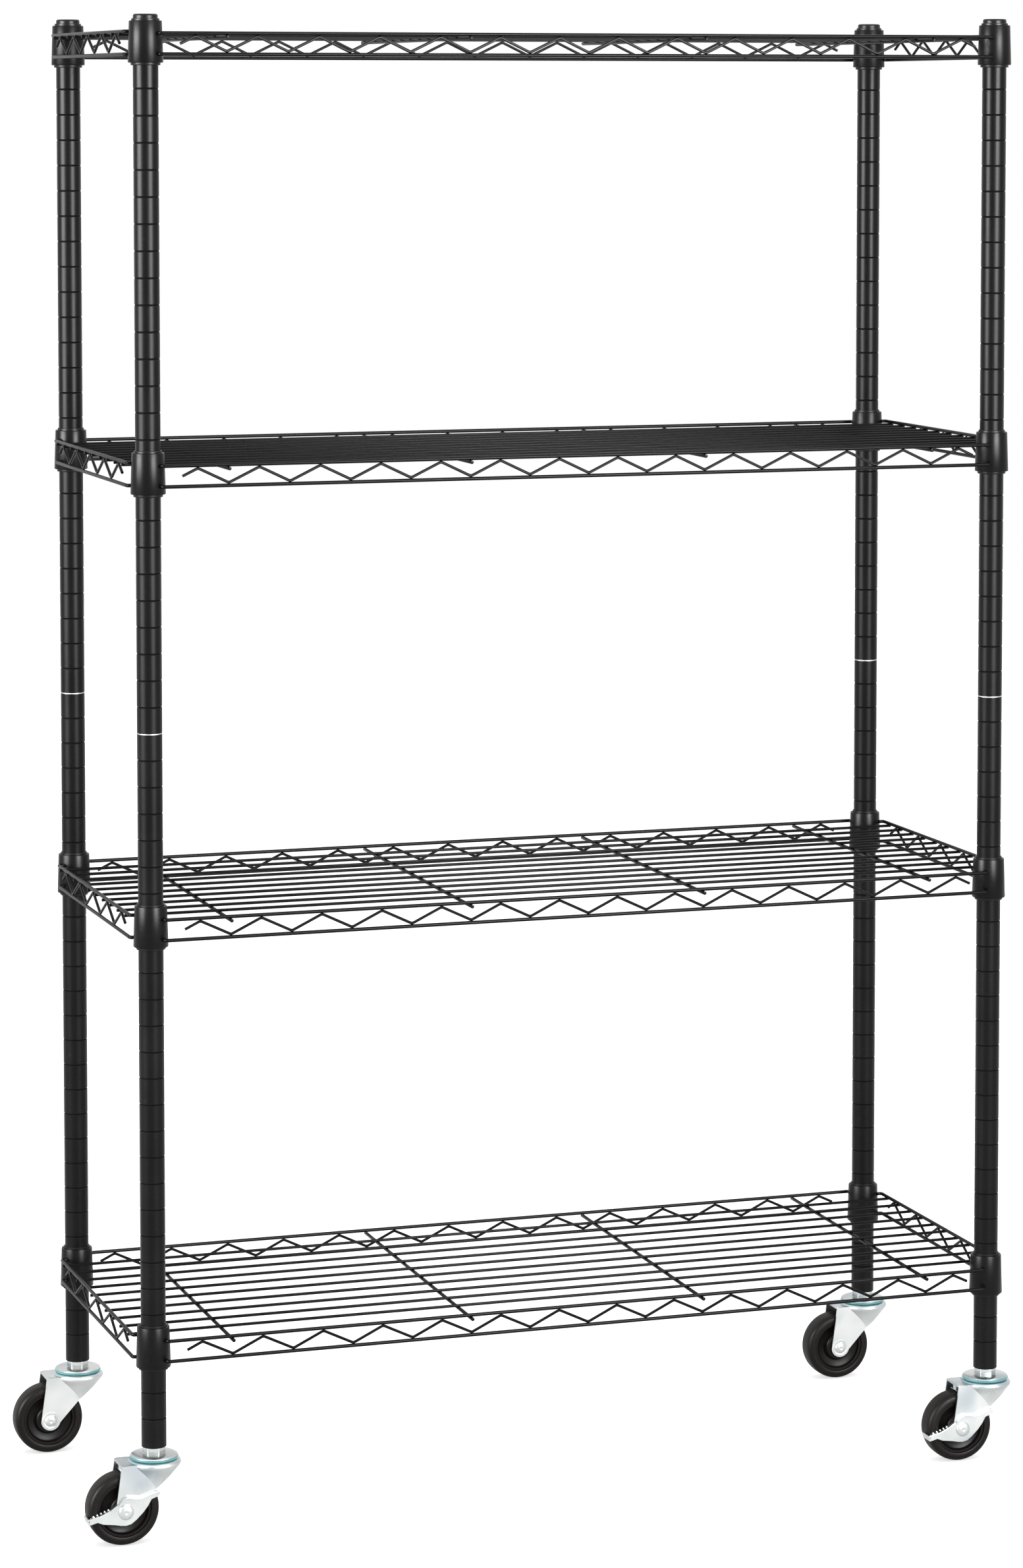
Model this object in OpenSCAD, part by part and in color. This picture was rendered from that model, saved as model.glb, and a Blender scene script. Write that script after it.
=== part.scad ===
// Four-shelf wire shelving rack on swivel casters, the front pair with brakes.
// Origin on the floor at the middle of the four posts, X along the shelves, Z up.

/* [Rack] */
// Distance between post axes along the shelf
post_span_x = 870; // [600:10:1200]
// Distance between post axes across the shelf
post_span_y = 323; // [260:1:460]
// Distance between two grooves of a post
groove_pitch = 25.4; // [25.4:0.1:30]
// Pitches in the lower post section, from its first groove to the joint
lower_pitches = 26; // [24:1:30]
// Grooves in the upper post section
upper_pitches = 26; // [22:1:30]
// Groove that carries the lowest shelf, counted up from 0
lowest_shelf = 2; // [1:1:5]
// Grooves left free above the top shelf
free_above = 1; // [1:1:4]

/* [Posts] */
// Outer diameter of a post
post_d = 24; // [22:0.5:28]
// Wall of a post
post_wall = 1.2; // [1:0.1:2]
// Depth of a post's groove
groove_depth = 0.5; // [0.3:0.1:0.7]
// Width of a post's groove
groove_w = 1.8; // [1.2:0.1:2.4]
// From the bottom of a post to its first groove
foot_margin = 28; // [24:1:36]
// From the last groove of a post to its top
head_margin = 15; // [12:1:20]
// Height of the plastic cap above the post
cap_h = 4.2; // [3:0.1:8]
// Depth of the cap's plug in the tube
cap_plug = 12; // [8:1:20]
// Thickness of the bright washer between two post sections
joint_washer = 0.9; // [0.5:0.1:1.5]
// Diameter of the stud that joins two post sections
stud_d = 10; // [8:1:12]
// Length of the stud in each section
stud_reach = 16; // [12:1:24]
// Length of a threaded insert in a post's end
insert_len = 22; // [18:1:30]

/* [Sleeves and collars] */
// Height of a shelf's corner collar
collar_h = 39.5; // [34:0.5:50]
// Wall of a collar
collar_wall = 2.15; // [1.8:0.05:4]
// Taper of collar and sleeve, in diameter over the collar's height
collar_taper = 2.4; // [1.5:0.1:3]
// Wall of a sleeve where the collar's bottom sits on it
sleeve_wall = 2.55; // [2.2:0.05:3]
// How far a sleeve shows below its collar
sleeve_below = 2.4; // [1.5:0.1:4]
// How far a sleeve shows above its collar
sleeve_above = 2; // [1:0.1:3]
// Gap between the two halves of a sleeve
sleeve_split = 0.6; // [0.4:0.1:1.5]
// From the bottom of a sleeve up to its inner ridge
ridge_up = 3; // [2.5:0.1:5]
// Radial clearance of sleeve on post and of collar on sleeve
fit_gap = 0.06; // [0.03:0.01:0.1]

/* [Shelf wires] */
// Diameter of the rim rails
rail_d = 3.6; // [3:0.1:5]
// Diameter of the zigzag wires
truss_d = 2.8; // [2.4:0.1:4]
// Diameter of the deck wires
deck_d = 3; // [2.4:0.1:4]
// Diameter of the cross wires under the deck
cross_d = 3.6; // [3:0.1:5]
// Height between the top and bottom rails along the shelf
rail_gap = 19.6; // [17:0.1:24]
// From the bottom of a collar to the lower rails
rail_up = 8; // [6:0.5:12]
// From a collar's wall out to the axis of the rails beside it
rail_beside = 1.1; // [0.8:0.1:4]
// From a post's axis along the shelf to a rail's end
rail_end = 9.5; // [8:0.5:12]
// Top bends of the zigzag along the shelf
truss_peaks_x = 14; // [8:1:20]
// Top bends of the zigzag across the shelf
truss_peaks_y = 5; // [3:1:8]
// From a post's axis to the zigzag's first bend
truss_margin = 44; // [40:1:60]
// Number of deck wires
deck_wires = 10; // [6:1:14]
// From the outermost deck wires to the long rails
deck_margin = 41.3; // [30:0.1:60]
// How far the deck wires reach past the side rails
deck_past = 2.5; // [2:0.5:5]
// Number of cross wires
cross_wires = 4; // [2:1:6]
// How far the cross wires reach past the long rails
cross_past = 4; // [2:0.5:6]
// How deep a weld sets a deck wire into the wires that it crosses
deck_set = 0.7; // [0.1:0.1:1]
// How deep a weld sets the other wires into each other
rail_set = 0.1; // [0.05:0.05:0.3]

/* [Casters] */
// Diameter of a wheel
wheel_d = 70; // [60:1:76]
// Width of a wheel
wheel_w = 24; // [20:1:26]
// From the swivel axis to the wheel's axle
trail = 32; // [28:1:38]
// From the wheel's side to the fork's leg
side_gap = 2; // [1.5:0.1:4]
// Thickness of the fork's sheet
fork_t = 2; // [1.5:0.1:2.5]
// From the top of the wheel to the fork's top sheet
fork_clear = 7; // [6:0.5:12]
// Radius of the fork's rolled crown
crown_r = 26; // [24:0.5:28]
// Height of the hexagon on the stem
hex_h = 5.5; // [4:0.5:10]
// Width across the hexagon's flats
hex_af = 19; // [17:0.5:22]
// Diameter of the axle
axle_d = 8; // [6:0.5:10]
// Radius of the rounded leg end around the axle
leg_r = 10; // [9:0.5:12]
// Balls in each swivel bearing
ball_count = 10; // [8:1:12]
// Thickness of the brake lever's sheet
brake_t = 1.6; // [1.2:0.1:2]

/* [Hidden] */
$fn = 64;
eps = 0.01;

black = [0.1, 0.1, 0.1];
plastic = [0.07, 0.07, 0.07];
zinc = [0.78, 0.8, 0.8];
teal = [0.3, 0.62, 0.66];
rubber = [0.13, 0.11, 0.1];

// Corners of the rack: front left, front right, back left, back right
FL = [-1, -1];
FR = [1, -1];
BL = [-1, 1];
BR = [1, 1];
corners = [FL, FR, BL, BR];

// Heights of the caster's stack, from the floor up
wheel_r = wheel_d / 2;
axle_z = wheel_r;
fork_top = wheel_d + fork_clear + fork_t;
crown_top = fork_top + 1.5;
seal_h = 2.2;
seal_z = crown_top + 0.8;
cup_z = seal_z + seal_h;
cup_h = 3;
hex_z = cup_z + cup_h;
post_z = hex_z + hex_h;

// Ridge inside a sleeve, which sits in a groove of the post
ridge_h = groove_w * 2 / 3;
ridge_depth = groove_depth * 0.8;

// Heights of the posts
first_groove = post_z + foot_margin;
joint_z = first_groove + lower_pitches * groove_pitch;
last_groove = joint_z + upper_pitches * groove_pitch;
top_shelf = lower_pitches + upper_pitches - free_above;
post_top = max(last_groove + head_margin, shelf_z(4) + collar_h + sleeve_above);
post_r = post_d / 2;
bore_r = post_r - post_wall;

// Sleeve and collar radii, measured at the collar's bottom
sleeve_h = sleeve_below + collar_h + sleeve_above;
sleeve_r = post_r + sleeve_wall;
collar_r = sleeve_r + collar_wall;
taper = collar_taper / 2 / collar_h;
lip_r = sleeve_r - 0.5;
sleeve_land = 8;
sleeve_relief = 0.3;

// Places of the wires, as heights above the collar's bottom
rail_r = rail_d / 2;
truss_r = truss_d / 2;
deck_r = deck_d / 2;
cross_r = cross_d / 2;
rail_low = rail_up;
rail_high = rail_up + rail_gap;
cross_up = rail_high - rail_r - cross_r + rail_set;
deck_up = cross_up + cross_r + deck_r - deck_set;
side_high = deck_up + deck_r + rail_r - deck_set;
side_low = rail_up;
half_x = post_span_x / 2;
half_y = post_span_y / 2;
rail_out = collar_r + rail_beside;
rail_x = half_x + rail_out;
rail_y = half_y + rail_out;
truss_pitch_x = (post_span_x - 2 * truss_margin) / (truss_peaks_x - 1);
truss_pitch_y = (post_span_y - 2 * truss_margin) / (truss_peaks_y - 1);
deck_pitch = 2 * (rail_y - deck_margin) / (deck_wires - 1);
cross_periods = floor((truss_peaks_x - 2) / (cross_wires - 1));
cross_pitch = cross_periods * truss_pitch_x;
cross_shift = ((cross_wires - 1) * cross_periods + truss_peaks_x) % 2 * truss_pitch_x / 2;

// Kingpin, swivel bearing, fork, wheel and brake
play = 0.3;
pin_r = 5;
pin_head_r = 8;
pin_head_h = 2;
race_r = crown_r - 12;
race_h = 3;
race_z = crown_top - fork_t - race_h - play;
cup_rim = crown_r - 3;
ball_r = 1.5;
ball_ring = crown_r - 10;
fork_w = wheel_w + 2 * (side_gap + fork_t);
fork_back = trail + 4;
front_edge = [-2, axle_z + 0.56 * wheel_r];
front_lip = fork_top - 4.5;
hub_r = 0.4 * wheel_r;
rim_r = wheel_r - 9;
tab_r = wheel_r + 1;
tab_t = 1.8;
tab_low = -8.5;
tab_high = -0.5;
tab_reach = wheel_w * 0.75;
tooth_r = tab_r + tab_t - 0.9;
head_r = 6;
brake_head_r = 7.3;

// Height of a shelf's collar bottom over the floor
function shelf_z(i) =
    let (groove = lowest_shelf + round((i - 1) * (top_shelf - lowest_shelf) / 3))
    first_groove + groove * groove_pitch - ridge_up - ridge_h / 2 + sleeve_below;

// Point where a tangent from p touches the circle of radius r at c, on the side s
function tangent_point(p, c, r, s) =
    let (v = p - c, d = norm(v), a = atan2(v[1], v[0]) + s * acos(r / d))
    c + r * [cos(a), sin(a)];

module at_corner(c) {
    translate([c[0] * half_x, c[1] * half_y, 0]) children();
}

module at_corners() {
    for (c = corners) at_corner(c) children();
}

// A round wire between two points, square-ended
module wire(a, b, r) {
    v = b - a;
    translate(a)
        rotate([0, acos(v[2] / norm(v)), atan2(v[1], v[0])])
            cylinder(h = norm(v), r = r);
}

// A bent round wire through a list of points, with a rounded knuckle at each bend
module bent_wire(points, r) {
    union() {
        for (i = [0 : len(points) - 2]) wire(points[i], points[i + 1], r);
        for (i = [1 : len(points) - 2]) translate(points[i]) sphere(r = r + 0.06);
    }
}

// ---- Posts ----

// A grooved tube standing on z = 0, with its first groove at height g0
module grooved_tube(len, g0, count) {
    difference() {
        cylinder(h = len, r = post_r);
        translate([0, 0, -1]) cylinder(h = len + 2, r = bore_r);
        for (k = [0 : count - 1])
            translate([0, 0, g0 + k * groove_pitch])
                rotate_extrude()
                    polygon([
                        [post_r - groove_depth, -groove_w / 2 + groove_depth / 2],
                        [post_r + 1, -groove_w / 2 - 1],
                        [post_r + 1, groove_w / 2 + 1],
                        [post_r - groove_depth, groove_w / 2 - groove_depth / 2]
                    ]);
    }
}

module post_lower(c) {
    color(black) at_corner(c) translate([0, 0, post_z])
        grooved_tube(joint_z - joint_washer / 2 - post_z, foot_margin, lower_pitches);
}

module post_upper(c) {
    start = joint_z + joint_washer / 2;
    color(black) at_corner(c) translate([0, 0, start])
        grooved_tube(post_top - start, groove_pitch - joint_washer / 2, upper_pitches);
}

// Plastic cap: a rounded head on a plug inside the tube
module post_caps() {
    round_r = 1.6;
    cap_r = post_r - 0.3;
    color(plastic) at_corners() translate([0, 0, post_top]) rotate_extrude() union() {
        square([cap_r, cap_h - round_r]);
        square([cap_r - round_r, cap_h]);
        intersection() {
            translate([cap_r - round_r, cap_h - round_r]) circle(r = round_r);
            square([cap_r + 1, cap_h + 1]);
        }
        translate([0, -cap_plug]) square([bore_r - 0.1, cap_plug + eps]);
    }
}

// Stud with a washer that stays visible as a bright ring between the sections
module post_joint_studs() {
    color(zinc) at_corners() translate([0, 0, joint_z]) union() {
        translate([0, 0, -joint_washer / 2]) cylinder(h = joint_washer, r = post_r - 0.2);
        translate([0, 0, -stud_reach]) cylinder(h = 2 * stud_reach, d = stud_d);
    }
}

// Threaded plug pressed into a tube's end, hanging down from z = 0
module insert_plug() {
    translate([0, 0, -insert_len]) difference() {
        cylinder(h = insert_len, r = bore_r);
        translate([0, 0, -1]) cylinder(h = insert_len + 2, d = stud_d + 0.1);
    }
}

module post_inserts() {
    color(zinc) at_corners() {
        translate([0, 0, joint_z - joint_washer / 2]) insert_plug();
        translate([0, 0, joint_z + joint_washer / 2 + insert_len]) insert_plug();
        translate([0, 0, post_z + insert_len]) insert_plug();
    }
}

// ---- Sleeves: two tapered plastic halves per post and shelf ----

// Outer radius of a sleeve at height z over the collar's bottom
function wedge_r(z) = sleeve_r - fit_gap - taper * z;

// Halves that wedge in the collar at both ends and are relieved between
module sleeve_pair() {
    low = -sleeve_below;
    top = collar_h + sleeve_above;
    ridge_z = low + ridge_up + ridge_h / 2;
    difference() {
        rotate_extrude() union() {
            polygon([
                [post_r + fit_gap, low],
                [lip_r - 0.5, low],
                [lip_r, low + 0.5],
                [lip_r, -eps],
                [wedge_r(0), eps],
                [wedge_r(sleeve_land - sleeve_relief), sleeve_land - sleeve_relief],
                [wedge_r(sleeve_land) - sleeve_relief, sleeve_land],
                [wedge_r(collar_h - sleeve_land) - sleeve_relief, collar_h - sleeve_land],
                [wedge_r(collar_h - sleeve_land + sleeve_relief), collar_h - sleeve_land + sleeve_relief],
                [wedge_r(top), top],
                [post_r + fit_gap, top]
            ]);
            polygon([
                [post_r + fit_gap + eps, ridge_z - ridge_h / 2],
                [post_r + fit_gap - ridge_depth, ridge_z - ridge_h / 2 + ridge_depth / 2],
                [post_r + fit_gap - ridge_depth, ridge_z + ridge_h / 2 - ridge_depth / 2],
                [post_r + fit_gap + eps, ridge_z + ridge_h / 2]
            ]);
        }
        translate([-post_d, -sleeve_split / 2, low - 1]) cube([2 * post_d, sleeve_split, sleeve_h + 2]);
    }
}

module sleeves(i) {
    color(plastic) at_corners() translate([0, 0, shelf_z(i)]) sleeve_pair();
}

// ---- Shelves ----

module collars(i) {
    color(black) at_corners() translate([0, 0, shelf_z(i)]) rotate_extrude() polygon([
        [sleeve_r, 0],
        [collar_r - 0.6, 0],
        [collar_r, 0.6],
        [collar_r - taper * collar_h, collar_h - 0.4],
        [collar_r - taper * collar_h - 0.4, collar_h],
        [sleeve_r - taper * collar_h, collar_h]
    ]);
}

// Rail along X at offset y, its ends turned in to the collars
module rail_along(y, z) {
    in = sign(y) * rail_turn();
    e = half_x - rail_end;
    bent_wire([[-e, y - in, z], [-e, y, z], [e, y, z], [e, y - in, z]], rail_r);
}

// Rail across, along Y at offset x
module rail_across(x, z) {
    in = sign(x) * rail_turn();
    e = half_y - rail_end;
    bent_wire([[x - in, -e, z], [x, -e, z], [x, e, z], [x - in, e, z]], rail_r);
}

// How far a rail's end turns in before it meets the collar's wall
function rail_turn() = rail_out - sqrt(pow(collar_r - taper * rail_high, 2) - pow(rail_end, 2)) + 0.6;

module rails(i) {
    color(black) translate([0, 0, shelf_z(i)]) {
        for (s = [-1, 1]) {
            rail_along(s * rail_y, rail_low);
            rail_along(s * rail_y, rail_high);
            rail_across(s * rail_x, side_low);
            rail_across(s * rail_x, side_high);
        }
    }
}

// Zigzag profile: half a slant, then top and bottom bends in turn, then half a slant
function zigzag(peaks, pitch, low, high) =
    let (first = -(peaks - 1) * pitch / 2, mid = (low + high) / 2)
    concat(
        [[first - pitch / 4, mid]],
        [for (k = [0 : 2 * peaks - 2]) [first + k * pitch / 2, k % 2 == 0 ? high : low]],
        [[-first + pitch / 4, mid]]
    );

// Zigzag wire in the XY plane: mitred bends, flattened to the round wire's own section area
module zigzag_wire(points, slant) {
    up = [0, truss_r / cos(slant)];
    thick = PI / 4 * truss_d;
    last = len(points) - 1;
    outline = concat([for (p = points) p + up], [for (k = [0 : last]) points[last - k] - up]);
    linear_extrude(height = thick, center = true) polygon(outline);
}

module truss_wires(i) {
    stand = rail_r + truss_r - rail_set;
    along = zigzag(truss_peaks_x, truss_pitch_x, rail_low + stand, rail_high - stand);
    across = zigzag(truss_peaks_y, truss_pitch_y, side_low + stand, side_high - stand);
    slant_along = atan2(rail_high - rail_low - 2 * stand, truss_pitch_x / 2);
    slant_across = atan2(side_high - side_low - 2 * stand, truss_pitch_y / 2);
    color(black) translate([0, 0, shelf_z(i)]) for (s = [-1, 1]) {
        translate([0, s * rail_y, 0]) rotate([90, 0, 0]) zigzag_wire(along, slant_along);
        translate([s * rail_x, 0, 0]) rotate([90, 0, 90]) zigzag_wire(across, slant_across);
    }
}

module deck_wires(i) {
    end = rail_x + deck_past;
    color(black) translate([0, 0, shelf_z(i) + deck_up])
        for (k = [0 : deck_wires - 1]) {
            y = (k - (deck_wires - 1) / 2) * deck_pitch;
            wire([-end, y, 0], [end, y, 0], deck_r);
        }
}

module cross_wires(i) {
    end = rail_y + cross_past;
    color(black) translate([0, 0, shelf_z(i) + cross_up])
        for (k = [0 : cross_wires - 1]) {
            x = (k - (cross_wires - 1) / 2) * cross_pitch + cross_shift;
            wire([x, -end, 0], [x, end, 0], cross_r);
        }
}

// ---- Caster parts fixed to the rack ----

// Threaded stem with a hexagon, and the kingpin that the fork turns on
module caster_stems() {
    color(zinc) at_corners() union() {
        translate([0, 0, hex_z]) cylinder(h = hex_h, d = hex_af / cos(30), $fn = 6);
        translate([0, 0, hex_z]) cylinder(h = hex_h + 20, d = stud_d);
        translate([0, 0, race_z]) cylinder(h = hex_z - race_z + eps, r = pin_r);
        translate([0, 0, race_z - pin_head_h]) cylinder(h = pin_head_h, r = pin_head_r);
    }
}

// Domed cup above the balls and the flat race under the fork's crown
module caster_races() {
    under = hex_z - 2.2;
    low = cup_z + 0.05;
    color(zinc) at_corners() {
        rotate_extrude() polygon([
            [pin_r, under],
            [pin_r, hex_z],
            [cup_rim - 11, hex_z],
            [cup_rim - 3, hex_z - 1.2],
            [cup_rim - 0.6, low + 0.75],
            [cup_rim, low],
            [cup_rim - 1.4, low],
            [cup_rim - 3.6, low + 0.2],
            [cup_rim - 4.5, under]
        ]);
        rotate_extrude() translate([pin_r, race_z]) square([race_r - pin_r, race_h]);
    }
}

// Coloured dust ring between the cup and the crown
module caster_seals() {
    ring_w = 3.4;
    color(teal) at_corners() translate([0, 0, seal_z])
        rotate_extrude() translate([cup_rim + 0.4 - ring_w, 0]) square([ring_w, seal_h]);
}

module caster_balls() {
    color(zinc) at_corners()
        for (k = [0 : ball_count - 1])
            rotate(k * 360 / ball_count)
                translate([ball_ring, 0, crown_top + play + ball_r]) sphere(r = ball_r);
}

// ---- Caster parts that swivel and roll ----

// Side outline of a fork leg, x back from the swivel axis and z up
module leg_outline() {
    back_top = [-fork_back, fork_top];
    front_x = fork_w / 2;
    c = [-trail, axle_z];
    union() {
        translate(c) circle(r = leg_r);
        polygon([
            back_top,
            tangent_point(back_top, c, leg_r, 1),
            c,
            tangent_point(front_edge, c, leg_r, -1),
            front_edge,
            [front_x, fork_top - 8],
            [front_x, fork_top]
        ]);
    }
}

// Space below the slanted front edge of the fork, where the sheet is cut away
module below_front_edge() {
    rotate([90, 0, 0]) linear_extrude(height = 4 * crown_r, center = true)
        polygon([
            [-2 * trail, 0],
            front_edge,
            [crown_r - 7, front_lip - 2.5],
            [crown_r + 4, front_lip],
            [crown_r + 4, 0]
        ]);
}

module fork(c) {
    leg_y = fork_w / 2;
    skirt_z = front_edge[1] - 4.6;
    color(zinc) at_corner(c) difference() {
        union() {
            // Crown: sheet cone with a rolled rim, only in front of the swivel axis
            difference() {
                rotate_extrude() polygon([
                    [leg_y - fork_t, skirt_z],
                    [leg_y, skirt_z],
                    [crown_r - 1, front_lip],
                    [crown_r, fork_top - 2.6],
                    [crown_r - 0.6, fork_top - 0.6],
                    [crown_r - 2.4, crown_top],
                    [pin_r, crown_top],
                    [pin_r, crown_top - fork_t],
                    [crown_r - 3.4, crown_top - fork_t],
                    [crown_r - 2.4, fork_top - 3],
                    [crown_r - 3, front_lip]
                ]);
                below_front_edge();
                translate([-2 * crown_r, -2 * crown_r, 0])
                    cube([2 * crown_r - 2, 4 * crown_r, fork_top - fork_t - 3]);
            }
            // Flat top tab over the wheel
            translate([-fork_back, -leg_y, fork_top - fork_t]) cube([fork_back - race_r - 1, fork_w, fork_t]);
            // Legs
            for (s = [-1, 1])
                translate([0, s * (leg_y - fork_t / 2) + fork_t / 2, 0])
                    rotate([90, 0, 0]) linear_extrude(height = fork_t) leg_outline();
        }
        cylinder(h = 2 * fork_top, r = pin_r + fit_gap);
        translate([-trail, 0, axle_z]) rotate([90, 0, 0]) cylinder(h = 2 * fork_w, d = axle_d, center = true);
    }
}

// Axle with two domed rivet heads and a spacer bush each side of the wheel
module axle(c) {
    braked = c[1] < 0;
    side = fork_w / 2 + 0.1;
    reach = side + (braked ? brake_t + play + 0.1 : 0);
    color(zinc) at_corner(c) translate([-trail, 0, axle_z]) {
        rotate([90, 0, 0]) union() {
            translate([0, 0, -side]) cylinder(h = side + reach + 0.1, d = axle_d - 0.1);
            translate([0, 0, reach]) rivet_head(braked ? brake_head_r : head_r);
            translate([0, 0, -side]) rotate([180, 0, 0]) rivet_head(head_r);
        }
        for (s = [-1, 1])
            translate([0, s * (wheel_w + side_gap) / 2, 0]) rotate([90, 0, 0]) difference() {
                cylinder(h = side_gap - 0.2, r = axle_d / 2 + 3, center = true);
                cylinder(h = side_gap, r = axle_d / 2, center = true);
            }
    }
}

// Low domed head on z = 0
module rivet_head(r) {
    dome = 2.6;
    ball = (r * r + dome * dome) / 2 / dome;
    rotate_extrude() intersection() {
        translate([0, dome - ball]) circle(r = ball);
        square([r, dome]);
    }
}

// Hub, dished web and rim of the wheel, bored for the axle
module wheel_core(c) {
    half = wheel_w / 2;
    color(rubber) at_corner(c) translate([-trail, 0, axle_z]) rotate([90, 0, 0]) rotate_extrude() polygon([
        [axle_d / 2, -half],
        [hub_r - 3, -half],
        [hub_r, -half + 2.5],
        [hub_r + 2, -half + 6.5],
        [rim_r - 4, -half + 5],
        [rim_r - 1.5, -half + 1.5],
        [rim_r, -half + 1.5],
        [rim_r, half - 1.5],
        [rim_r - 1.5, half - 1.5],
        [rim_r - 4, half - 5],
        [hub_r + 2, half - 6.5],
        [hub_r, half - 2.5],
        [hub_r - 3, half],
        [axle_d / 2, half]
    ]);
}

// Tyre with a rounded tread
module tyre(c) {
    half = wheel_w / 2;
    crown = 60;
    color(rubber) at_corner(c) translate([-trail, 0, axle_z]) rotate([90, 0, 0]) rotate_extrude()
        intersection() {
            translate([rim_r, -half]) square([wheel_r - rim_r, wheel_w]);
            translate([wheel_r - crown, 0]) circle(r = crown, $fn = 128);
            polygon([
                [rim_r - 1, -half + 0.6],
                [rim_r + 1.5, -half],
                [wheel_r - 4, -half],
                [wheel_r - 1.2, -half + 2],
                [wheel_r + 1, -half + 6],
                [wheel_r + 1, half - 6],
                [wheel_r - 1.2, half - 2],
                [wheel_r - 4, half],
                [rim_r + 1.5, half],
                [rim_r - 1, half - 0.6]
            ]);
        }
}

// ---- Brakes of the front casters ----

// Side outline of the brake lever around the axle, x and z from the axle
module lever_outline() {
    difference() {
        union() {
            circle(r = leg_r + 2.5);
            polygon([
                [-tab_r - 1, -3], [-tab_r + 1.5, tab_low], [8 - tab_r, -7], [-22, -9.5], [-11, -11.2],
                [0, -10], [8, -9], [16, -2], [22, 5], [tab_r - 11, 10.5],
                [tab_r - 4, 13], [tab_r - 2, 15.5], [tab_r - 4.5, 18],
                [16, 12.5], [-6, 12], [-12, 6], [-24, 1.5]
            ]);
        }
        circle(d = axle_d);
    }
}

// Stamped lever outside the near leg, with a toothed pedal at one end and a tab at the other
module brake_lever(c) {
    face = fork_w / 2 + play;
    color(zinc) at_corner(c) translate([-trail, 0, axle_z]) union() {
        translate([0, -face, 0]) rotate([90, 0, 0]) linear_extrude(height = brake_t) lever_outline();
        // Pedal over the tread, with teeth along it
        intersection() {
            translate([0, -face - brake_t, 0]) rotate([-90, 0, 0]) difference() {
                cylinder(h = tab_reach, r = tab_r + tab_t);
                translate([0, 0, -1]) cylinder(h = tab_reach + 2, r = tab_r);
            }
            translate([-2 * tab_r, -2 * tab_r, tab_low]) cube([1.3 * tab_r, 4 * tab_r, tab_high - tab_low]);
        }
        for (k = [0 : 3])
            translate([-tooth_r - 1.2, -face - brake_t + 2 + k * (tab_reach - 2) / 3.8, -6])
                cube([1.2, 2, 5.5]);
        // Release tab
        intersection() {
            translate([0, -face - brake_t, 0]) rotate([-90, 0, 0]) difference() {
                cylinder(h = brake_t + 5, r = tab_r + tab_t);
                translate([0, 0, -1]) cylinder(h = brake_t + 7, r = tab_r);
            }
            translate([10, -2 * tab_r, 11.5]) cube([2 * tab_r, 4 * tab_r, 5.5]);
        }
        // Stiffening lip along the upper edge
        translate([-5, -face - brake_t - 2.4, 10.4]) cube([22, 2.6, 1.4]);
    }
}

// Curved spring-steel shoe hung from the fork's top tab, just above the tread
module brake_shoe(c) {
    shoe_r = wheel_r + 1.2;
    shoe_w = wheel_w - 8;
    post_low = axle_z + shoe_r + 1;
    color(zinc) at_corner(c) translate([-trail, 0, 0]) union() {
        intersection() {
            translate([0, 0, axle_z]) rotate([90, 0, 0]) difference() {
                cylinder(h = shoe_w, r = shoe_r + 1.2, center = true);
                cylinder(h = shoe_w + 2, r = shoe_r, center = true);
            }
            translate([-14, -shoe_w, axle_z + wheel_r / 2]) cube([28, 2 * shoe_w, wheel_d]);
        }
        translate([0, 0, post_low]) cylinder(h = fork_top - fork_t - post_low, r = 3);
    }
}

post_lower(FL);  // post_lower_fl
post_lower(FR);  // post_lower_fr
post_lower(BL);  // post_lower_bl
post_lower(BR);  // post_lower_br
post_upper(FL);  // post_upper_fl
post_upper(FR);  // post_upper_fr
post_upper(BL);  // post_upper_bl
post_upper(BR);  // post_upper_br
post_caps();
post_joint_studs();
post_inserts();
sleeves(1);  // sleeves_shelf_1
sleeves(2);  // sleeves_shelf_2
sleeves(3);  // sleeves_shelf_3
sleeves(4);  // sleeves_shelf_4
caster_stems();
caster_races();
caster_seals();
caster_balls();
collars(1);  // shelf_1_collars
rails(1);  // shelf_1_rails
truss_wires(1);  // shelf_1_truss_wires
deck_wires(1);  // shelf_1_deck_wires
cross_wires(1);  // shelf_1_cross_wires
collars(2);  // shelf_2_collars
rails(2);  // shelf_2_rails
truss_wires(2);  // shelf_2_truss_wires
deck_wires(2);  // shelf_2_deck_wires
cross_wires(2);  // shelf_2_cross_wires
collars(3);  // shelf_3_collars
rails(3);  // shelf_3_rails
truss_wires(3);  // shelf_3_truss_wires
deck_wires(3);  // shelf_3_deck_wires
cross_wires(3);  // shelf_3_cross_wires
collars(4);  // shelf_4_collars
rails(4);  // shelf_4_rails
truss_wires(4);  // shelf_4_truss_wires
deck_wires(4);  // shelf_4_deck_wires
cross_wires(4);  // shelf_4_cross_wires
fork(FL);  // fork_fl
fork(FR);  // fork_fr
fork(BL);  // fork_bl
fork(BR);  // fork_br
axle(FL);  // axle_fl
axle(FR);  // axle_fr
axle(BL);  // axle_bl
axle(BR);  // axle_br
wheel_core(FL);  // wheel_core_fl
wheel_core(FR);  // wheel_core_fr
wheel_core(BL);  // wheel_core_bl
wheel_core(BR);  // wheel_core_br
tyre(FL);  // tyre_fl
tyre(FR);  // tyre_fr
tyre(BL);  // tyre_bl
tyre(BR);  // tyre_br
brake_lever(FL);  // brake_lever_fl
brake_lever(FR);  // brake_lever_fr
brake_shoe(FL);  // brake_shoe_fl
brake_shoe(FR);  // brake_shoe_fr
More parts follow.
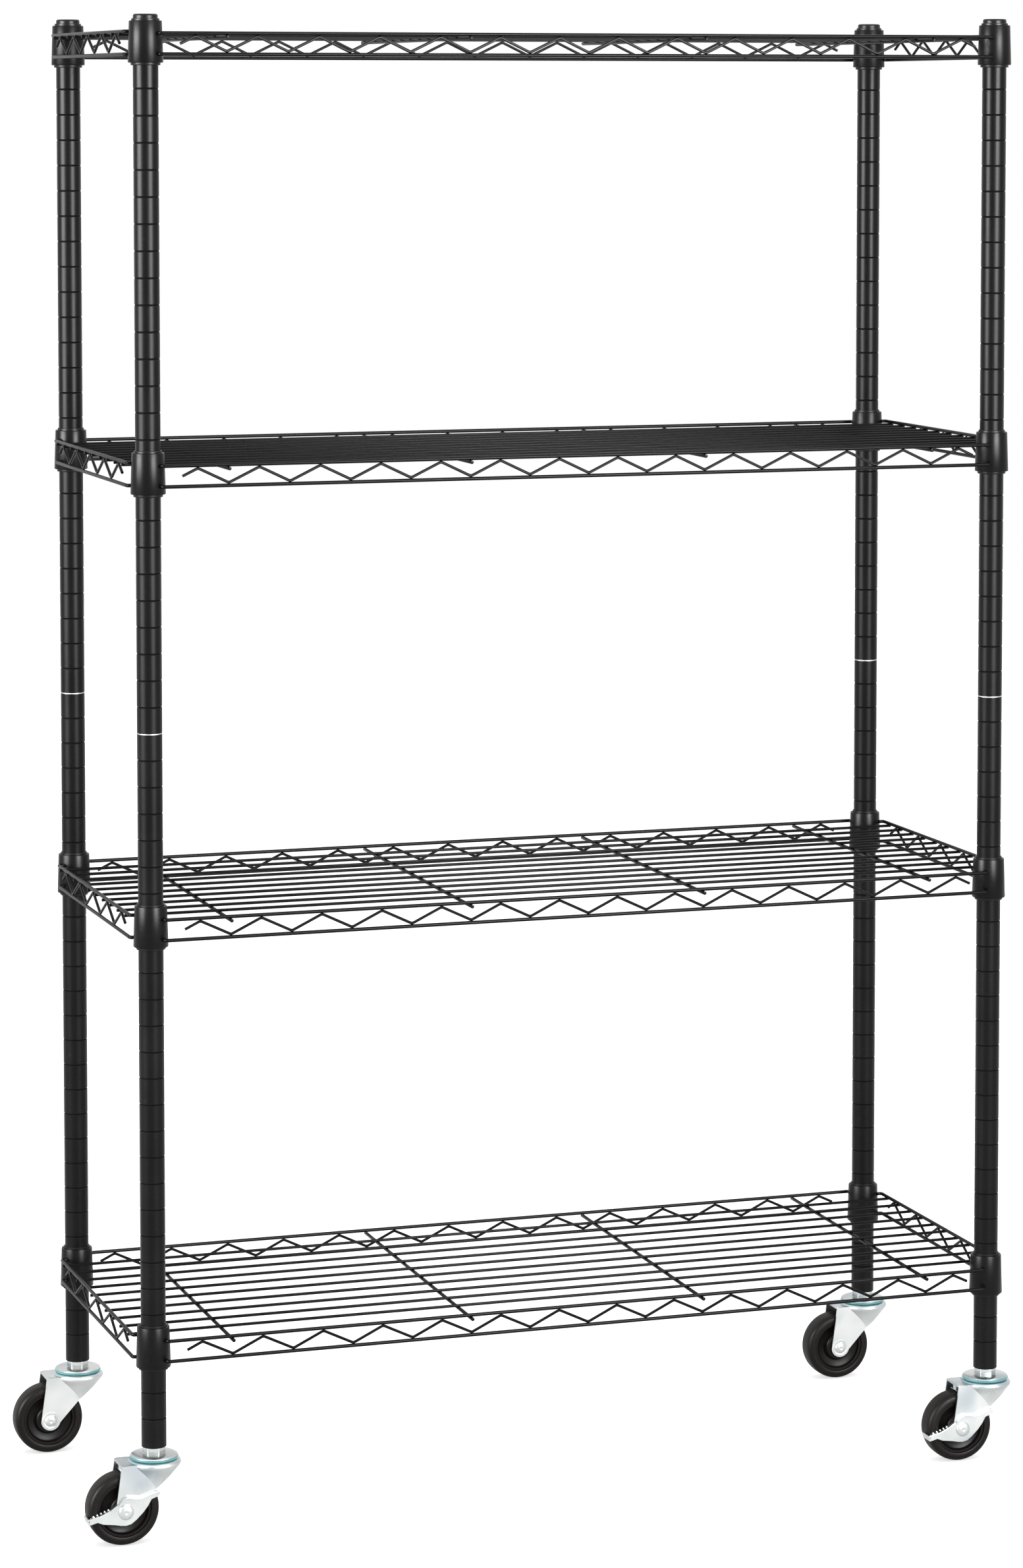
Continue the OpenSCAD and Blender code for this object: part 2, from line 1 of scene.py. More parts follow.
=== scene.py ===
# %% [markdown]
# # A four-shelf wire rack on casters
# The rack is modelled in the parts it is made from: grooved steel tubes, plastic sleeves that grip a
# groove, welded wire shelves with a tapered collar at each corner, and bought-in casters with pressed
# zinc forks. The construction model gives the main places and sizes, and each piece is modelled around
# it.

# %% Load the construction model
import bmesh
import bpy
import math
from mathutils import Matrix, Vector


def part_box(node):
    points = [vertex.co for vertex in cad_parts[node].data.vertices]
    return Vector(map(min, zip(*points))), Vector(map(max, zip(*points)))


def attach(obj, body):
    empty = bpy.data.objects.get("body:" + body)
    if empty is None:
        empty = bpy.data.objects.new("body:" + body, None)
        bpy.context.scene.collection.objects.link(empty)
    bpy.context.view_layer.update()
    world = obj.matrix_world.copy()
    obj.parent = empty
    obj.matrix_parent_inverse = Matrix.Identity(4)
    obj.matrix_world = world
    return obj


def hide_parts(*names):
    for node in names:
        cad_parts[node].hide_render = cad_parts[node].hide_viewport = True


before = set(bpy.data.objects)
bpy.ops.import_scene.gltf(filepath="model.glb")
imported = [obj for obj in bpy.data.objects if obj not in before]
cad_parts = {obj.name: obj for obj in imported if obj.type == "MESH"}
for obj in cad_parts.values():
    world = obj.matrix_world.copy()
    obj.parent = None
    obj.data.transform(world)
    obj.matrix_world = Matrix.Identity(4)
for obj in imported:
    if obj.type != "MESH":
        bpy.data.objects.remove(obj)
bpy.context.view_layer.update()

# %% [markdown]
# ## Sizes
# Lengths are metres, and profiles are drawn in millimetres. What the construction model can tell is read
# from its boxes. The rest are sizes that a drawing would give: groove pitch, wire diameters and bend
# radii.

# %% Sizes
MM = 0.001
PITCH = 25.4 * MM
GROOVES = 26
FOOT_TO_GROOVE = 28 * MM
HAIR = 0.01 * MM
CORNERS = {"fl": (-1, -1), "fr": (1, -1), "bl": (-1, 1), "br": (1, 1)}
SHELVES = (1, 2, 3, 4)

foot, washer_low = (corner.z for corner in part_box("post_lower_fl"))
post_low, post_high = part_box("post_lower_fr")
POST_R = (post_high.x - post_low.x) / 2
POST_X = (post_high.x + post_low.x) / 2
POST_Y = -(post_high.y + post_low.y) / 2
SHELF_Z = {i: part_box(f"shelf_{i}_collars")[0].z for i in SHELVES}
print("post radius", round(POST_R, 4), "at", round(POST_X, 4), round(POST_Y, 4), "shelves", SHELF_Z)

# %% [markdown]
# ## Ways of working
# A piece starts as a primitive, is shaped in edit mode, and is finished with modifiers. `add` deselects
# all else first, because an operator works on everything that is selected.

# %% Start a piece
def add(primitive, name, **settings):
    """Add one primitive, put its place into its mesh, and open it for editing."""
    if bpy.context.mode != "OBJECT":
        bpy.ops.object.mode_set(mode="OBJECT")
    bpy.ops.object.select_all(action="DESELECT")
    getattr(bpy.ops.mesh, f"primitive_{primitive}_add")(**settings)
    piece = bpy.context.active_object
    piece.name = name
    piece.data.name = name
    bpy.ops.object.transform_apply(location=True, rotation=True, scale=True)
    bpy.ops.object.mode_set(mode="EDIT")
    bpy.ops.mesh.select_mode(type="VERT")
    bpy.ops.mesh.select_all(action="SELECT")
    return piece


# %% Select and extrude
def pick(piece, kind, test):
    """Select the verts, edges or faces whose middle passes the test, and nothing else."""
    mode = {"verts": "VERT", "edges": "EDGE", "faces": "FACE"}[kind]
    bpy.ops.mesh.select_mode(type=mode)
    bpy.ops.mesh.select_all(action="DESELECT")
    shape = bmesh.from_edit_mesh(piece.data)
    for part in getattr(shape, kind):
        corners = [part] if kind == "verts" else part.verts
        if test(sum((v.co for v in corners), Vector()) / len(corners)):
            part.select_set(True)
    shape.select_flush_mode()
    bmesh.update_edit_mesh(piece.data)


def pull(x=0.0, y=0.0, z=0.0):
    """Extrude what is selected by a step."""
    bpy.ops.mesh.extrude_region_move(TRANSFORM_OT_translate={"value": (x, y, z)})


# %% Modify and clean
def alone(piece):
    """Leave edit mode with this piece alone selected and active."""
    if bpy.context.mode != "OBJECT":
        bpy.ops.object.mode_set(mode="OBJECT")
    bpy.ops.object.select_all(action="DESELECT")
    piece.select_set(True)
    bpy.context.view_layer.objects.active = piece


def apply(piece, kind, **settings):
    """Give the piece one modifier and apply it."""
    alone(piece)
    modifier = piece.modifiers.new(kind.title(), kind)
    for key, value in settings.items():
        setattr(modifier, key, value)
    bpy.ops.object.modifier_apply(modifier=modifier.name)
    return piece


def soften(piece, edge, sharper_than):
    """Round off the edges that are sharper than an angle, by edge millimetres."""
    return apply(piece, "BEVEL", width=edge * MM, segments=2, limit_method="ANGLE",
                 angle_limit=math.radians(sharper_than))


def clean(piece, smooth=35):
    """Merge doubles, turn the faces outward, and shade curves smooth and edges sharp."""
    alone(piece)
    bpy.ops.object.mode_set(mode="EDIT")
    bpy.ops.mesh.select_all(action="SELECT")
    bpy.ops.mesh.remove_doubles(threshold=0.2 * HAIR)
    bpy.ops.mesh.normals_make_consistent(inside=False)
    bpy.ops.object.mode_set(mode="OBJECT")
    bpy.ops.object.shade_smooth_by_angle(angle=math.radians(smooth))
    return piece


# %% Place, copy and join
def placed(piece, place=(0, 0, 0), turn=0.0):
    """Turn the mesh about the upright axis through the origin, then put it in its place."""
    piece.data.transform(Matrix.Translation(place) @ Matrix.Rotation(turn, 4, "Z"))
    return piece


def copy_of(piece, name, place=(0, 0, 0), turn=0.0):
    """A copy with its own mesh, turned and put in its place."""
    twin = piece.copy()
    twin.data = piece.data.copy()
    twin.name = twin.data.name = name
    bpy.context.scene.collection.objects.link(twin)
    return placed(twin, place, turn)


def joined(pieces, name):
    """Join pieces into the first one and name it."""
    alone(pieces[0])
    for piece in pieces:
        piece.select_set(True)
    bpy.ops.object.join()
    pieces[0].name = pieces[0].data.name = name
    return pieces[0]


def remove(*pieces):
    for piece in pieces:
        bpy.data.objects.remove(piece)


# %% [markdown]
# ## Three shapes that do most of the work
# A turned part is a ring that is extruded and scaled along its profile, as on a lathe. A bent wire is a
# small ring that is extruded along each straight and spun round each bend. A sheet part is drawn dot to
# dot by extruding one vertex, filled, and given its thickness.

# %% Turned parts
def turned(name, profile, sides=48, closed=False, about="Z"):
    """Turn a profile of (radius, height) points in mm. A radius of 0 closes the shape on its axis."""
    smallest = 0.01
    radius, height = max(profile[0][0], smallest), profile[0][1]
    piece = add("circle", name, vertices=sides, radius=radius * MM, location=(0, 0, height * MM))
    for next_radius, next_height in profile[1:] + (profile[:1] if closed else []):
        pull(z=(next_height - height) * MM)
        grow = max(next_radius, smallest) / radius
        bpy.ops.transform.resize(value=(grow, grow, 1), center_override=(0, 0, next_height * MM))
        radius, height = max(next_radius, smallest), next_height
    bpy.ops.mesh.select_all(action="SELECT")
    bpy.ops.mesh.remove_doubles(threshold=2 * HAIR)
    if not closed:
        bpy.ops.mesh.fill_holes(sides=0)
    if about == "Y":
        alone(piece)
        piece.rotation_euler = (math.radians(90), 0, 0)
        bpy.ops.object.transform_apply(location=True, rotation=True, scale=True)
    return clean(piece)


# %% Bent wires
def bent_wire(name, points, radius, bend, sides=12, steps=5):
    """A round wire through points in metres, with this bend radius at each corner, closed at both ends."""
    points = [Vector(p) for p in points]
    heading = (points[1] - points[0]).normalized()
    ring = heading.to_track_quat("Z", "Y").to_euler()
    piece = add("circle", name, vertices=sides, radius=radius, location=points[0], rotation=ring)
    at = points[0]
    for corner, after in zip(points[1:-1], points[2:]):
        onward = (after - corner).normalized()
        angle = heading.angle(onward)
        reach = bend * math.tan(angle / 2)
        pull(*(corner - heading * reach - at))
        axis = onward.cross(heading).normalized()
        centre = corner - heading * reach + heading.cross(axis).normalized() * bend
        bpy.ops.mesh.spin(steps=steps, angle=angle, center=centre, axis=axis)
        at, heading = corner + onward * reach, onward
    pull(*(points[-1] - at))
    bpy.ops.mesh.select_all(action="SELECT")
    bpy.ops.mesh.fill_holes(sides=0)
    return clean(piece)


# %% Sheet parts
def sheet(name, outline, y, thickness, edge=0.3):
    """A flat sheet part from an outline of (x, z) points in mm, standing at y and growing towards +y."""
    piece = add("plane", name, size=MM, location=(outline[0][0] * MM, y * MM, outline[0][1] * MM))
    bpy.ops.mesh.merge(type="CENTER")
    for (x0, z0), (x1, z1) in zip(outline, outline[1:]):
        pull((x1 - x0) * MM, 0, (z1 - z0) * MM)
    bpy.ops.mesh.select_all(action="SELECT")
    bpy.ops.mesh.edge_face_add()
    pull(y=thickness * MM)
    clean(piece)
    if edge:
        soften(piece, edge, 40)
    return clean(piece)


def arc(cx, cz, radius, start, end, count):
    """Points on an arc in mm, for an outline. Angles are degrees from +x towards +z."""
    angles = [math.radians(start + (end - start) * k / count) for k in range(count + 1)]
    return [(cx + radius * math.cos(a), cz + radius * math.sin(a)) for a in angles]


print("smallest merge", 0.2 * HAIR, "m")


# %% [markdown]
# ## Finishes
# Shader maths is written as plain expressions. `Signal` wraps a socket, and each sum or product with a
# signal in it adds one Math node. Any other node that is fed comes from `node`.

# %% Shader expressions
class Signal:
    """The output of a shader node, which can be added and multiplied."""

    def __init__(self, tree, socket):
        self.tree, self.socket = tree, socket

    def node(self, kind, settings=(), output=0, **inputs):
        """A new node with its settings, and values or signals for its inputs. _0 is the first input."""
        made = self.tree.nodes.new(kind)
        for key, value in dict(settings).items():
            setattr(made, key, value)
        for key, value in inputs.items():
            place = int(key[1:]) if key[0] == "_" else key.replace("_", " ")
            if isinstance(value, Signal):
                self.tree.links.new(value.socket, made.inputs[place])
            else:
                made.inputs[place].default_value = value
        return Signal(self.tree, made.outputs[output])

    def math(self, operation, first, second):
        return self.node("ShaderNodeMath", {"operation": operation}, _0=first, _1=second)

    def __add__(self, other):
        return self.math("ADD", self, other)

    def __mul__(self, other):
        return self.math("MULTIPLY", self, other)

    __radd__, __rmul__ = __add__, __mul__


def ray_kinds(tree):
    """Three signals: whether the ray comes from the camera, a gloss, or through glass."""
    outputs = tree.nodes.new("ShaderNodeLightPath").outputs
    return [Signal(tree, outputs[f"Is {kind} Ray"]) for kind in ("Camera", "Glossy", "Transmission")]


# %% A finish and its parts
class Finish:
    """One material: its shader, and the patterns that feed it."""

    def __init__(self, name, **fixed):
        self.material = bpy.data.materials.new(name)
        self.material.use_nodes = True
        tree = self.material.node_tree
        self.shader = next(n for n in tree.nodes if n.type == "BSDF_PRINCIPLED")
        for key, value in fixed.items():
            self.shader.inputs[key.replace("_", " ")].default_value = value
        places = tree.nodes.new("ShaderNodeTexCoord")
        self.place = Signal(tree, places.outputs["Object"])

    def noise(self, scale, detail=2.0, stretch=(1, 1, 1)):
        """A cloudy pattern on the piece's own coordinates."""
        at = self.place.node("ShaderNodeMapping", Vector=self.place, Scale=stretch)
        return self.place.node("ShaderNodeTexNoise", Vector=at, Scale=scale, Detail=detail)

    def ramp(self, signal, low, high):
        """0 below low, 1 above high."""
        return self.place.node("ShaderNodeMapRange", Value=signal, From_Min=low, From_Max=high)

    def blend(self, factor, a, b):
        """From colour a, which may be a signal, to colour b."""
        first = (*a, 1) if isinstance(a, tuple) else a
        return self.place.node(
            "ShaderNodeMix", {"data_type": "RGBA"}, output=2, _0=factor, _6=first, _7=(*b, 1))

    def feed(self, **links):
        """Link signals to the shader's inputs."""
        for key, signal in links.items():
            signal.tree.links.new(signal.socket, self.shader.inputs[key.replace("_", " ")])

    def bump(self, height, distance):
        """Raise the surface by a pattern. A height of 1 stands for the distance, in metres."""
        self.feed(Normal=self.place.node("ShaderNodeBump", Height=height, Distance=distance, Strength=1.0))


# %% [markdown]
# ### Black powder coat
# Powder melts into a thick satin skin with a fine orange peel. The peel is a small bump, a second noise
# changes the gloss a little from place to place, and the colour drifts between two near blacks.

# %% Powder coat
def powder_coat(name, peel, specular):
    """Black powder with an orange peel of a given height in metres."""
    made = Finish(name, Metallic=0.0, Specular_IOR_Level=specular)
    drift = made.ramp(made.noise(18, 3), 0.35, 0.7)
    dust = made.ramp(made.noise(260, 2), 0.62, 0.8)
    colour = made.blend(drift, (0.0035, 0.0034, 0.0033), (0.006, 0.0059, 0.0057))
    made.feed(Base_Color=made.blend(dust * 0.25, colour, (0.025, 0.025, 0.024)))
    made.feed(Roughness=0.3 + drift * 0.05 + dust * 0.08)
    made.bump(made.noise(900, 1), peel)
    return made.material


coat = powder_coat("black_powder_coat", 0.000008, 0.14)
wire_coat = powder_coat("black_wire_coat", 0.000004, 0.10)
print("coats:", coat.name, wire_coat.name)


# %% Coat in the grooves, darkened with painted shade
def groove_coat_painted_shade():
    """A duller coat for a groove, its colour darkened as painted shade in the recess."""
    made = Finish("groove_coat_painted_shade", Metallic=0.0, Specular_IOR_Level=0.05)
    groove_drift = made.ramp(made.noise(120, 2), 0.35, 0.7)
    # Painted shade: these near blacks stand in for shade in the groove and drift at random; the low gloss and
    # roughness are the coat's own.
    made.feed(Base_Color=made.blend(groove_drift, (0.001, 0.001, 0.001), (0.003, 0.0029, 0.0028)))
    made.feed(Roughness=0.6 + groove_drift * 0.1)
    return made.material


groove_painted_shade = groove_coat_painted_shade()
print("groove coat:", groove_painted_shade.name)

# %% [markdown]
# ### Plastics and rubber
# Caps and sleeves are moulded in black plastic, a little greyer and duller than the coat. The wheels are
# a hard brown-black compound, scuffed where the tread rolls. The dust ring is moulded in blue-green
# plastic.

# %% Plastics
def plastic(name, dark, light, roughness, grain, specular=0.5):
    """Moulded plastic that drifts between two near colours."""
    made = Finish(name, Metallic=0.0, Specular_IOR_Level=specular)
    drift = made.ramp(made.noise(40, 3), 0.3, 0.7)
    made.feed(Base_Color=made.blend(drift, dark, light), Roughness=roughness + drift * 0.06)
    made.bump(made.noise(1400, 2), grain)
    return made.material


black_plastic = plastic("black_plastic", (0.004, 0.004, 0.004), (0.008, 0.008, 0.0078), 0.32, 0.00002, 0.2)
wheel_black = plastic("wheel_plastic", (0.006, 0.0045, 0.004), (0.010, 0.0075, 0.0065), 0.36, 0.00003, 0.14)
dust_ring = plastic("dust_ring_plastic", (0.15, 0.47, 0.51), (0.19, 0.53, 0.56), 0.35, 0.00001)
print("plastics:", black_plastic.name, wheel_black.name, dust_ring.name)


# %% Tyre
def tyre_compound():
    """Hard rubber with grey scuffs drawn out across the tread."""
    made = Finish("tyre_rubber", Metallic=0.0, Specular_IOR_Level=0.14)
    drift = made.ramp(made.noise(30, 4), 0.35, 0.7)
    scuff = made.ramp(made.noise(420, 3, (1, 0.35, 1)), 0.6, 0.75)
    colour = made.blend(drift, (0.0075, 0.0055, 0.0048), (0.012, 0.009, 0.0078))
    made.feed(Base_Color=made.blend(scuff * 0.35, colour, (0.028, 0.024, 0.021)))
    made.feed(Roughness=0.42 + drift * 0.06 + scuff * 0.12)
    made.bump(made.noise(700, 3) + scuff * 0.4, 0.00004)
    return made.material


tyre_black = tyre_compound()
print("tyre:", tyre_black.name)

# %% [markdown]
# ### Bright zinc
# The fork, lever, cup and stem are pressed or turned steel with bright zinc plating. Plating is a mirror:
# drawn lines run down the sheet, its gloss and tone drift in clouds, and the tone leans slightly blue.
# Dark blue patches, also in clouds, are painted into the colour as a painted reflection of dark surroundings.

# %% Zinc
def zinc(name, roughness, lines, waves=0.0):
    """Bright plating with drawn lines, gloss and tone drifting in clouds, a dark blue painted reflection in
    clouds and, on a pressing, slow waves in the sheet.
    """
    made = Finish(name, Metallic=1.0)
    clouds = made.ramp(made.noise(28, 2), 0.3, 0.7)
    painted_reflection = made.ramp(made.noise(20, 1), 0.52, 0.70)
    drawn = made.noise(320, 2, (1, 1, 0.06))
    colour = made.blend(clouds, (0.56, 0.59, 0.585), (0.65, 0.665, 0.655))
    # Painted reflection: dark blue patches in clouds darken the colour where dark surroundings would be
    # mirrored.
    made.feed(Base_Color=made.blend(painted_reflection * 0.55, colour, (0.30, 0.36, 0.41)))
    made.feed(Roughness=roughness + clouds * 0.06 + drawn * 0.04)
    made.bump(drawn * 0.4 + made.noise(45, 1) * waves, lines)
    return made.material


fork_zinc = zinc("fork_zinc", 0.24, 0.00003, 3.0)
stem_zinc = zinc("stem_zinc", 0.22, 0.000005)
steel_ring = zinc("joint_washer", 0.34, 0.000005)
print("zinc:", fork_zinc.name, stem_zinc.name, steel_ring.name)


# %% Give a piece its finish and body, and hide the construction node it stands for
def settle(piece, body, material, node, second=None):
    """Dress a piece, let it ride on its body, and hide the construction node it stands for."""
    for finish in filter(None, (material, second)):
        piece.data.materials.append(finish)
    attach(piece, body)
    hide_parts(node)


# %% [markdown]
# ## Posts
# A post is a thin steel tube with a groove rolled in every inch, where a shelf can be set. Each post
# comes in two sections that screw together on a stud. One pitch of tube is turned with its groove,
# arrayed up the section, and the two ends are drawn out plain.

# %% One pitch of grooved tube
R = POST_R / MM
HALF = PITCH / MM / 2
GROOVE_SHADE_HALF = 0.6 * MM
pitch_tile = turned("pitch_tile", [
    (R, -HALF), (R, -1.0), (R - 0.12, -0.8), (R - 0.42, -0.55), (R - 0.5, -0.3), (R - 0.5, 0.3),
    (R - 0.42, 0.55), (R - 0.12, 0.8), (R, 1.0), (R, HALF)])
bpy.ops.object.mode_set(mode="EDIT")
pick(pitch_tile, "faces", lambda m: abs(abs(m.z) - PITCH / 2) < HAIR)
bpy.ops.mesh.delete(type="ONLY_FACE")
bpy.ops.object.mode_set(mode="OBJECT")
# Faces at the groove's bottom take the second slot, the coat with painted shade.
for face in pitch_tile.data.polygons:
    face.material_index = int(abs(face.center.z) < GROOVE_SHADE_HALF)
print("one pitch:", len(pitch_tile.data.polygons), "faces")


# %% A post section
BORE_R = R - 1.2
CHAMFER, RECESS = 0.3, 4


def post_section(name, bottom, first, top):
    """A tube from bottom to top with its first groove at first, open at both ends as far as its inserts."""
    piece = copy_of(pitch_tile, name, (0, 0, first))
    apply(piece, "ARRAY", count=GROOVES, use_relative_offset=False, use_constant_offset=True,
          constant_offset_displace=(0, 0, PITCH), use_merge_vertices=True, merge_threshold=HAIR)
    bpy.ops.object.mode_set(mode="EDIT")
    last_z = first + PITCH * (GROOVES - 0.5)
    for from_z, to_z, inward in ((first - PITCH / 2, bottom, 1), (last_z, top, -1)):
        pick(piece, "verts", lambda m: abs(m.z - from_z) < HAIR)
        bpy.ops.mesh.select_mode(type="EDGE")
        steps = [(R, to_z + inward * CHAMFER * MM), (R - CHAMFER, to_z), (BORE_R, to_z),
                 (BORE_R, to_z + inward * RECESS * MM)]
        radius, height = R, from_z
        for next_radius, next_height in steps:
            pull(z=next_height - height)
            grow = next_radius / radius
            bpy.ops.transform.resize(value=(grow, grow, 1), center_override=(0, 0, next_height))
            radius, height = next_radius, next_height
        bpy.ops.mesh.edge_face_add()
    return clean(piece, 30)


# %% All eight sections
washer_high, post_top = (corner.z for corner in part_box("post_upper_fl"))
joint_mid = (washer_low + washer_high) / 2
lower = post_section("post_lower", foot, foot + FOOT_TO_GROOVE, washer_low)
upper = post_section("post_upper", washer_high, joint_mid + PITCH, post_top)
for corner, (sx, sy) in CORNERS.items():
    for part, model in (("lower", lower), ("upper", upper)):
        piece = copy_of(model, f"{part}_post_{corner}", (sx * POST_X, sy * POST_Y, 0))
        settle(piece, "frame", coat, f"post_{part}_{corner}", second=groove_painted_shade)
remove(lower, upper, pitch_tile)
print("posts from", round(foot, 4), "to", round(post_top, 4), "joint at", round(joint_mid, 4))


# %% Put a part at all four corners
def at_corners(piece, name):
    """Copies of the piece at the four posts, joined into one."""
    places = [(sx * POST_X, sy * POST_Y, 0) for sx, sy in CORNERS.values()]
    copies = [copy_of(piece, f"{name}_{k}", place) for k, place in enumerate(places)]
    remove(piece)
    return joined(copies, name)


print("corners at", [(round(sx * POST_X, 4), round(sy * POST_Y, 4)) for sx, sy in CORNERS.values()])


# %% [markdown]
# ## Caps
# A moulded cap closes each post. Its head is a flat disc with a rounded rim, and a plug below grips the
# tube.

# %% Caps
cap_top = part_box("post_caps")[1].z / MM
seat = post_top / MM
cap = turned("cap", [
    (0, seat - 12), (BORE_R - 0.9, seat - 12), (BORE_R - 0.1, seat - 11), (BORE_R - 0.1, seat),
    (R - 0.3, seat), (R - 0.3, cap_top - 1.9), (R - 0.45, cap_top - 1.1), (R - 0.95, cap_top - 0.45),
    (R - 1.8, cap_top - 0.1), (R - 2.6, cap_top - 0.04), (R - 3.4, cap_top - 0.22), (0, cap_top - 0.26)])
settle(at_corners(cap, "caps"), "frame", black_plastic, "post_caps")
print("caps to", round(cap_top, 2), "mm")

# %% [markdown]
# ## Sleeves and collars
# A sleeve is two plastic halves that snap over a groove. The shelf's steel collar slides down over it,
# and since both taper, the load wedges them tighter. Only the sleeve's two lips show, above and below the
# collar.

# %% Sleeves
COLLAR_H = 39.5
COLLAR_R = (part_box("shelf_1_collars")[1].x - POST_X) / MM
COLLAR_WALL = 2.15
SLEEVE_R = COLLAR_R - COLLAR_WALL
TAPER = 1.2 / COLLAR_H
FIT_GAP, HALF_SPLIT = 0.06, 0.3
narrow_r = SLEEVE_R - TAPER * COLLAR_H
sleeve = turned("sleeve_half", [
    (R + FIT_GAP, -2.4), (SLEEVE_R - 1.0, -2.4), (SLEEVE_R - 0.6, -2.15), (SLEEVE_R - 0.5, -1.8),
    (SLEEVE_R - 0.5, 0), (SLEEVE_R - FIT_GAP, 0.02), (narrow_r - FIT_GAP, COLLAR_H),
    (narrow_r - 0.14, COLLAR_H + 1.6), (narrow_r - 0.5, COLLAR_H + 2), (R + FIT_GAP, COLLAR_H + 2)],
    closed=True)
bpy.ops.object.mode_set(mode="EDIT")
bpy.ops.mesh.select_all(action="SELECT")
bpy.ops.mesh.bisect(plane_co=(0, HALF_SPLIT * MM, 0), plane_no=(0, 1, 0), clear_inner=True, use_fill=True)
clean(sleeve)
pair = joined([sleeve, copy_of(sleeve, "other_half", turn=math.pi)], "sleeve_pair")
sleeves = at_corners(pair, "sleeves")
for i in SHELVES:
    piece = copy_of(sleeves, f"sleeves_{i}", (0, 0, SHELF_Z[i]))
    settle(piece, "frame", black_plastic, f"sleeves_shelf_{i}")
remove(sleeves)
print("sleeves radius", round(SLEEVE_R, 2), "to", round(narrow_r, 2), "mm")

# %% Collars
TOP_R = COLLAR_R - TAPER * COLLAR_H
collar = turned("collar", [
    (SLEEVE_R, 0.3), (SLEEVE_R + 0.3, 0), (COLLAR_R - 0.9, 0), (COLLAR_R - 0.3, 0.22), (COLLAR_R, 0.85),
    (TOP_R + 0.02, COLLAR_H - 0.75), (TOP_R - 0.22, COLLAR_H - 0.2), (TOP_R - 0.75, COLLAR_H),
    (narrow_r + 0.3, COLLAR_H), (narrow_r, COLLAR_H - 0.3)], closed=True)
collars = at_corners(collar, "collars")
for i in SHELVES:
    piece = copy_of(collars, f"collars_{i}", (0, 0, SHELF_Z[i]))
    settle(piece, f"shelf_{i}", coat, f"shelf_{i}_collars")
remove(collars)
print("collars radius", round(COLLAR_R, 2), "to", round(TOP_R, 2), "mm")

# %% [markdown]
# ## Shelf wires
# Each long and short side is a little girder: two straight rails with a zigzag wire welded between. The
# rails' ends turn in and are welded to the collars. The deck wires lie on cross wires and run out under
# the short sides' upper rails. All are drawn for the lowest shelf and copied to each of the four.

# %% Where the wires run
RAIL_R, TRUSS_R, DECK_R, CROSS_R = 1.8 * MM, 1.4 * MM, 1.5 * MM, 1.8 * MM
BITE = 0.1 * MM
rails_low, rails_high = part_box("shelf_1_rails")
RAIL_X, RAIL_Y = rails_high.x - RAIL_R, rails_high.y - RAIL_R
LOW_Z, SIDE_Z = rails_low.z + RAIL_R, rails_high.z - RAIL_R
cross_low, cross_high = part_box("shelf_1_cross_wires")
CROSS_Z = (cross_low.z + cross_high.z) / 2
HIGH_Z = CROSS_Z + CROSS_R + RAIL_R - BITE
deck_low, deck_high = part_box("shelf_1_deck_wires")
DECK_Z = (deck_low.z + deck_high.z) / 2
RAIL_END, RAIL_BEND = 9.5 * MM, 2.6 * MM
BEAD_R = 2.5 * MM
print("long rails at", round(LOW_Z, 4), round(HIGH_Z, 4), "short rails to", round(SIDE_Z, 4))


# %% Rails with their welds
# A quarter turn, so that what runs along X at +Y comes to run along Y at +X
QUARTER = -math.pi / 2


def rail(name, along, across, z, short):
    """A rail at +across with its ends turned in and welded to the collars. A short one runs along Y."""
    wall = TOP_R * MM + (SHELF_Z[1] + COLLAR_H * MM - z) * TAPER
    turn_in = across - (POST_X if short else POST_Y) - math.sqrt(wall ** 2 - RAIL_END ** 2) + 0.8 * MM
    inner = across - turn_in
    points = [(-along, inner, z), (-along, across, z), (along, across, z), (along, inner, z)]
    pieces = [bent_wire(name, points, RAIL_R, RAIL_BEND)]
    for side in (-1, 1):
        weld_at = (side * (along - 0.2 * MM), inner + 0.9 * MM, z)
        bead = add("ico_sphere", "bead", subdivisions=3, radius=BEAD_R,
                   location=weld_at, scale=(1.0, 0.62, 0.76))
        bpy.ops.transform.vertex_random(offset=0.00012, uniform=0.2, seed=3 + side)
        alone(bead)
        bpy.ops.object.shade_smooth()
        pieces.append(bead)
    return placed(joined(pieces, name), turn=QUARTER if short else 0.0)


def both_sides(piece):
    """A piece and its copy on the opposite side of the shelf."""
    return [piece, copy_of(piece, piece.name + "_far", turn=math.pi)]


long_reach, short_reach = POST_X - RAIL_END, POST_Y - RAIL_END
rails = []
for z in (LOW_Z, HIGH_Z):
    rails += both_sides(rail("long_rail", long_reach, RAIL_Y, z, False))
for z in (LOW_Z, SIDE_Z):
    rails += both_sides(rail("short_rail", short_reach, RAIL_X, z, True))
rails = joined(rails, "rails")
print("rails:", len(rails.data.polygons), "faces")

# %% [markdown]
# ### Zigzag wires
# The zigzag is one wire folded on pins. The slant between two pins is the line that touches both, so its
# slope follows from the pin radius, the height and the pitch. Each end stops halfway down a slant.

# %% Zigzag wires
PIN = 4.2 * MM


def zigzag(name, span, peaks, low, high, across):
    """A wire that is folded between two rails, with its peaks spread over a span."""
    stand = RAIL_R + TRUSS_R - BITE
    low, high = low + stand, high - stand
    pitch = span / (peaks - 1)
    between = math.hypot(pitch / 2, high - low - 2 * PIN)
    slope = math.atan2(high - low - 2 * PIN, pitch / 2) + math.asin(2 * PIN / between)
    over = PIN * (1 / math.cos(slope) - 1)
    half_slant = (high + low) / 2
    points = [(-span / 2 - pitch / 4, across, half_slant)]
    for k in range(2 * peaks - 1):
        points.append((-span / 2 + k * pitch / 2, across, low - over if k % 2 else high + over))
    points.append((span / 2 + pitch / 4, across, half_slant))
    return bent_wire(name, points, TRUSS_R, PIN, sides=10, steps=4)


